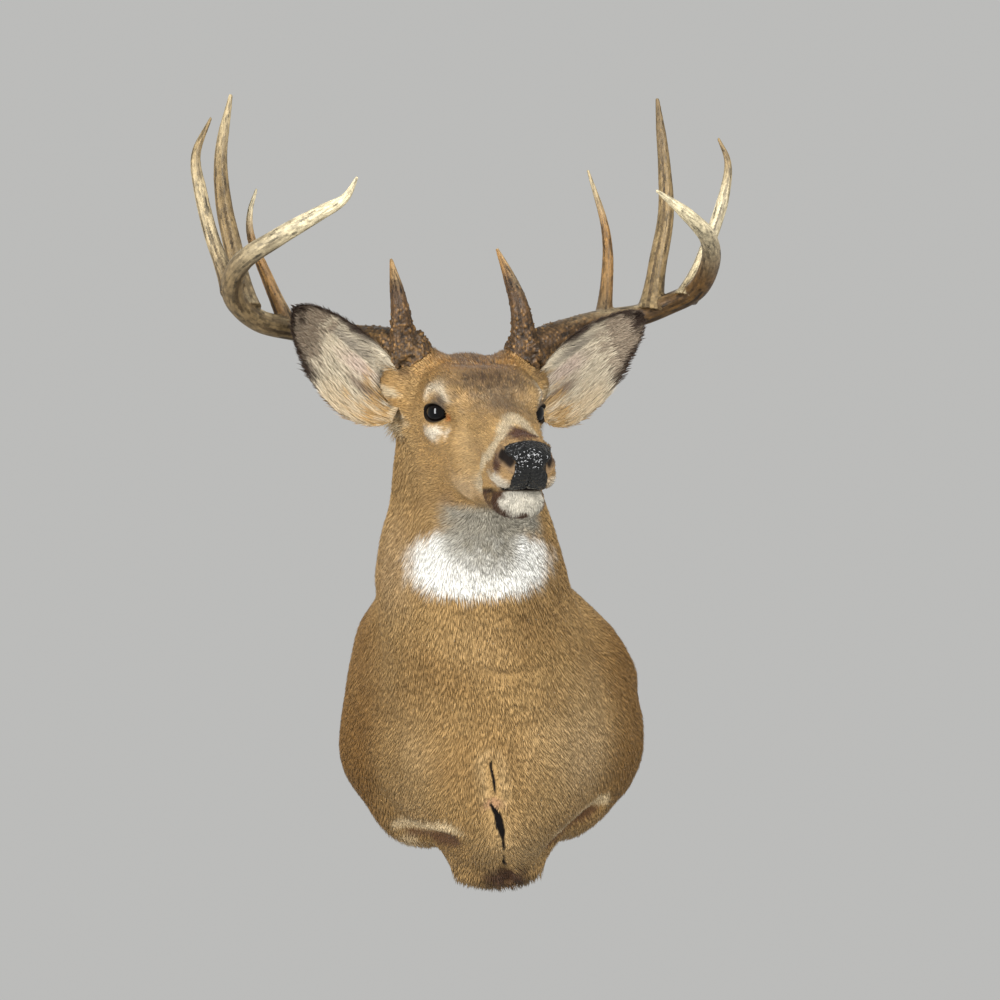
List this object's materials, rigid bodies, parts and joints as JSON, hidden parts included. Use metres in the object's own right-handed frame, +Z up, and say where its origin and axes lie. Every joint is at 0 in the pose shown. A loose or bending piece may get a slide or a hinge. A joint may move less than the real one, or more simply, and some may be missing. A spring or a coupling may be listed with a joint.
{
  "type": "whitetail buck shoulder mount",
  "caption": "Life-size taxidermy shoulder mount of a whitetail buck with a five by five rack, its head turned slightly to its left.",
  "frame": {"origin": "middle of the back board's rear face, in the plane of the wall", "axes": "+Y into the wall (the buck looks along -Y), +Z up, +X towards the buck's own left"},
  "size_m": [0.5894, 0.5577, 0.9006],
  "materials": {
    "hide": "matte",
    "nose_leather": "gloss",
    "glass_eye": "gloss",
    "antler_bone": "satin",
    "plywood": "matte",
    "zinc_steel": "satin"
  },
  "bodies": {
    "root": {"back_board": "plywood", "beam_left_1": "antler_bone", "beam_left_2": "antler_bone", "beam_left_3": "antler_bone", "beam_left_4": "antler_bone", "beam_right_1": "antler_bone", "beam_right_2": "antler_bone", "beam_right_3": "antler_bone", "beam_right_4": "antler_bone", "brow_tine_left": "antler_bone", "brow_tine_right": "antler_bone", "cranium": "hide", "ear_left": "hide", "ear_right": "hide", "eye_left": "glass_eye", "eye_right": "glass_eye", "foreleg_stub_left": "hide", "foreleg_stub_right": "hide", "fourth_tine_left": "antler_bone", "fourth_tine_right": "antler_bone", "hanger_plate": "zinc_steel", "lower_jaw": "hide", "muzzle": "hide", "neck": "hide", "nose": "nose_leather", "second_tine_left": "antler_bone", "second_tine_right": "antler_bone", "third_tine_left": "antler_bone", "third_tine_right": "antler_bone", "trunk": "hide"}
  },
  "joints": []
}
